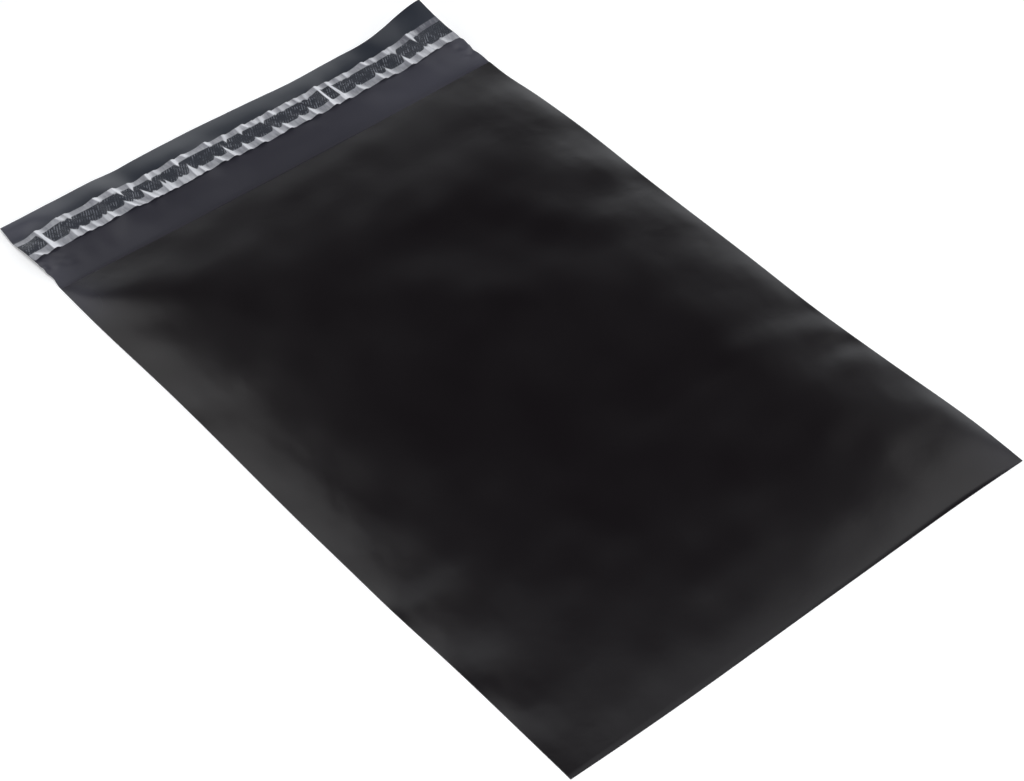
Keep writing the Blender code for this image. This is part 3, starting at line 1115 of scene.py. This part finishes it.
@dataclass
class ReleaseLiner:
    """The clear liner over the adhesive, as wide as the bag, tented into wrinkles across it."""

    columns: int = 800
    rows: int = 32
    gauge: float = 0.04
    film_gap: float = 0.06
    usual_milkiness: float = 0.28
    curled_milkiness: float = 0.0
    painted_shade_share: float = 0.7
    seat_rise: tuple[float, float] = (-1.0, 0.3)
    curled_in: tuple[float, float] = (45.0, 5.0)
    curled_up: tuple[float, float] = (4.0, 12.0)
    unevenness: Ripple = Ripple(0.035, 9, seed=41)
    wrinkles: list[LinerWrinkle] = field(default_factory=lambda: lower_wrinkles() + upper_wrinkles())
    finish: ClearLinerFinish = field(default_factory=ClearLinerFinish)

    def build(self) -> bpy.types.Object:
        """Drapes the liner over the adhesive, marks where it touches it, and paints its wrinkles'
        highlights and shade into its haze.

        Returns:
            The liner.
        """
        liner, across, along = active_grid("clear_liner", self.columns, self.rows)
        x = across * BAG.width
        up = along * BAG.liner_width
        tent, parting, shine, shade = (
            np.max([effect(wrinkle, x, up) for wrinkle in self.wrinkles], axis=0)
            for effect in (LinerWrinkle.lift, LinerWrinkle.parting, LinerWrinkle.shine, LinerWrinkle.shade))
        inside_strip = np.minimum(up - BAG.strip_up[0], BAG.strip_up[1] - up)
        y = BAG.liner_bottom + up
        on_strip = smooth_step(inside_strip, *self.seat_rise)
        seat = self.film_gap + (BAG.adhesive_gauge + self.film_gap) * on_strip
        place_vertices(liner, FORM.flap_x(x, y), y, FORM.flap(x, y) + BAG.gauge + seat + tent)
        touching = smooth_step(inside_strip, 0.0, 0.5) * (1 - smooth_step(parting, -0.25, 0.2))
        mark(liner, "wetted", touching)
        near_corner = smooth_step(x, *(BAG.width - inward for inward in self.curled_in))
        curled = near_corner * smooth_step(up, *self.curled_up)
        usual = self.usual_milkiness + (self.curled_milkiness - self.usual_milkiness) * curled
        usual = usual + self.unevenness.lift(x, 0.4 * up)
        # Painted shade darkens the haze on each wrinkle's left flank, and a painted highlight lightens it
        # on the right.
        dull = usual * (1 - self.painted_shade_share * shade)
        mark(liner, "haze_and_painted_light", np.clip(dull + (1 - dull) * shine, 0, 1))
        give_thickness(liner, self.gauge, 1)
        finish_piece(liner, "release_liner", self.finish.material())
        return liner


@dataclass(frozen=True)
class ProductCamera:
    """The photograph's camera: it looks down on the bag from beyond its bottom left corner.

    place is in metres, bearing in degrees clockwise from +Y, fall in degrees below the horizon, and
    focal_length and sensor_width in mm.
    """

    place: tuple[float, float, float] = (-0.5133, -0.6431, 0.8222)
    bearing: float = 39.29
    fall: float = 46.03
    roll: float = -0.66
    focal_length: float = 92.88
    sensor_width: float = 36.0

    def build(self) -> bpy.types.Object:
        """Adds the camera and makes it the scene's.

        Returns:
            The camera.
        """
        data = bpy.data.cameras.new("product_camera")
        data.lens = self.focal_length
        data.sensor_width = self.sensor_width
        data.sensor_fit = "HORIZONTAL"
        camera = bpy.data.objects.new("product_camera", data)
        bpy.context.scene.collection.objects.link(camera)
        heading = Matrix.Rotation(math.radians(-self.bearing), 4, "Z")
        tilt = Matrix.Rotation(math.radians(90 - self.fall), 4, "X")
        turn = Matrix.Rotation(math.radians(self.roll), 4, "Z")
        camera.matrix_world = Matrix.Translation(self.place) @ heading @ tilt @ turn
        bpy.context.scene.camera = camera
        return camera


@dataclass(frozen=True)
class Softbox:
    """A round soft lamp that faces the bag.

    bearing is in degrees clockwise from +Y, rise in degrees above the floor, and spread is the half
    angle in degrees that it fills as the bag sees it. radiance is 1 where a white card would be.
    """

    name: str
    bearing: float
    rise: float
    spread: float
    radiance: float
    distance: float = 1.8

    def build(self) -> None:
        """Hangs the lamp."""
        bearing, rise_angle = math.radians(self.bearing), math.radians(self.rise)
        out = self.distance * math.cos(rise_angle)
        data = bpy.data.lights.new(self.name, "AREA")
        data.shape = "DISK"
        data.size = 2 * self.distance * math.tan(math.radians(self.spread))
        data.energy = self.radiance * math.pi * math.pi * (data.size / 2) ** 2
        lamp = bpy.data.objects.new(self.name, data)
        lamp.location = (
            out * math.sin(bearing), out * math.cos(bearing), self.distance * math.sin(rise_angle))
        lamp.rotation_euler = lamp.location.to_track_quat("Z", "Y").to_euler()
        bpy.context.scene.collection.objects.link(lamp)


@dataclass(frozen=True)
class Studio:
    """A white sweep under soft light: white walls, and a white ring high up with black below and above it.

    The floor's size and the two radii between which its glow rises are in metres, and the glow is only
    what is seen of the floor, not light on the bag.
    """

    floor_size: float = 8.0
    floor_colour: str = "#f4f4f4"
    floor_roughness: float = 0.9
    floor_glow: float = 0.24
    far_glow: float = 0.62
    glow_radii: tuple[float, float] = (0.6, 2.4)
    walls: float = 1.2
    band: float = 0.0
    ceiling: float = 1.4
    zenith: float = 0.0
    wall_fade_deg: tuple[float, float] = (24.0, 38.0)
    ceiling_fade_deg: tuple[float, float] = (54.0, 68.0)
    zenith_fade_deg: tuple[float, float] = (62.0, 74.0)
    daylight: str = "#f8fbff"
    softboxes: tuple[Softbox, ...] = (
        Softbox("key_softbox", 200.0, 62.0, 12.0, 11.5),
        Softbox("back_left_softbox", -5.0, 52.0, 15.0, 0.9),
        Softbox("right_softbox", 84.0, 45.0, 14.0, 0.9, 2.4),
    )

    def build(self) -> None:
        """Adds the floor, the world's light and the lamps."""
        self.floor()
        self.world()
        for softbox in self.softboxes:
            softbox.build()
        bpy.context.scene.view_settings.view_transform = "Standard"

    def floor(self) -> None:
        """Lays a white floor that keeps the bag's soft shadow, and looks white beyond the lamps' reach."""
        bpy.ops.object.select_all(action="DESELECT")
        bpy.ops.mesh.primitive_plane_add(size=self.floor_size)
        floor = bpy.context.object
        floor.name = "studio_floor"
        material, tree, shader = new_material("white_sweep")
        shader.inputs["Base Color"].default_value = srgb(self.floor_colour)
        shader.inputs["Roughness"].default_value = self.floor_roughness
        shader.inputs["Specular IOR Level"].default_value = 0.0
        shader.inputs["Emission Color"].default_value = (1, 1, 1, 1)
        path = add_node(tree, "ShaderNodeLightPath")
        seen = add_node(tree, "ShaderNodeMath", {"operation": "ADD", "use_clamp": True}, {
            0: path.outputs["Is Camera Ray"], 1: path.outputs["Is Glossy Ray"]})
        seen = add_node(tree, "ShaderNodeMath", {"operation": "ADD", "use_clamp": True}, {
            0: seen.outputs[0], 1: path.outputs["Is Transmission Ray"]})
        place = add_node(tree, "ShaderNodeTexCoord").outputs["Object"]
        away = add_node(tree, "ShaderNodeVectorMath", {"operation": "LENGTH"}, {0: place})
        level = add_node(tree, "ShaderNodeMapRange", {"interpolation_type": "SMOOTHSTEP"}, {
            "Value": away.outputs["Value"], "From Min": self.glow_radii[0], "From Max": self.glow_radii[1],
            "To Min": self.floor_glow, "To Max": self.far_glow})
        glow = add_node(tree, "ShaderNodeMath", {"operation": "MULTIPLY"}, {
            0: seen.outputs[0], 1: level.outputs["Result"]})
        tree.links.new(glow.outputs[0], shader.inputs["Emission Strength"])
        floor.data.materials.append(material)

    def world(self) -> None:
        """Sets the surrounding light, which changes only with height."""
        world = bpy.data.worlds.new("studio_light")
        bpy.context.scene.world = world
        world.use_nodes = True
        tree = world.node_tree
        direction = add_node(tree, "ShaderNodeTexCoord").outputs["Generated"]
        height = add_node(tree, "ShaderNodeSeparateXYZ", inputs={0: direction}).outputs["Z"]
        steps = (
            (self.wall_fade_deg, self.walls, self.band),
            (self.ceiling_fade_deg, 0.0, self.ceiling - self.band),
            (self.zenith_fade_deg, 0.0, self.zenith - self.ceiling),
        )
        total = None
        for fade_deg, below, above in steps:
            low, high = (math.sin(math.radians(angle)) for angle in fade_deg)
            step = add_node(tree, "ShaderNodeMapRange", {"interpolation_type": "SMOOTHSTEP"}, {
                "Value": height, "From Min": low, "From Max": high, "To Min": below, "To Max": above})
            level = step.outputs["Result"]
            total = level if total is None else add_node(
                tree, "ShaderNodeMath", {"operation": "ADD"}, {0: total, 1: level}).outputs[0]
        background = tree.nodes["Background"]
        background.inputs["Color"].default_value = srgb(self.daylight)
        tree.links.new(total, background.inputs["Strength"])


def main() -> None:
    """Builds the studio and the bag's three pieces, and reports each."""
    logging.basicConfig(level=logging.INFO, format="%(name)s: %(message)s")
    ProductCamera().build()
    Studio().build()
    for part in (BagFilm(), AdhesiveStrip(), ReleaseLiner()):
        piece = part.build()
        LOG.info("built %s", piece.name)


if __name__ == "__main__":
    main()
